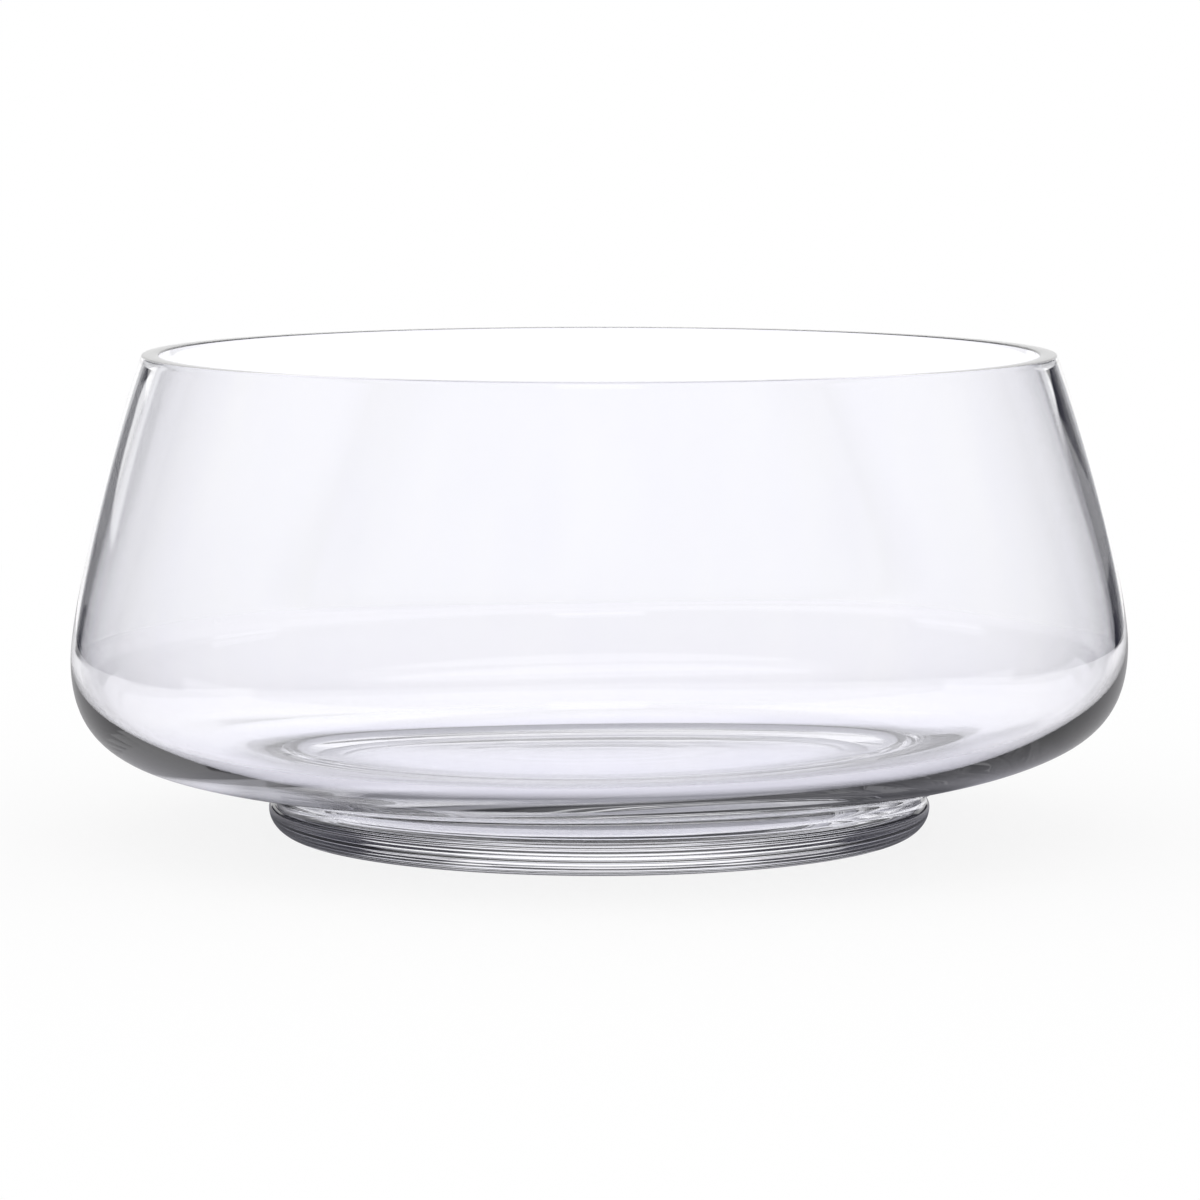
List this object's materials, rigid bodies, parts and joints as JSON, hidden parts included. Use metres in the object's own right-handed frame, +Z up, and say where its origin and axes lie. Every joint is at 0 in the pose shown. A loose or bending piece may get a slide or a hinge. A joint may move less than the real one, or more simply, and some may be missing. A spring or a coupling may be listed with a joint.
{
  "type": "serving bowl",
  "caption": "Clear glass serving bowl with a low round shoulder, sides leaning in to a cut and polished rim, and a solid round glass foot.",
  "frame": {"origin": "middle of the foot's flat underside, on the table that the bowl stands on", "axes": "+Z up the bowl's axis of revolution, from the foot to the open rim; X and Y lie in the table and are alike"},
  "size_m": [0.2636, 0.2636, 0.12],
  "materials": {
    "bowl_glass": "blown clear glass, fire-bright, with a cut and polished rim",
    "foot_glass": "solid clear glass, fire-bright, with a shallow hollow underneath"
  },
  "bodies": {
    "root": {"bowl_body": "bowl_glass", "foot": "foot_glass"}
  },
  "joints": []
}
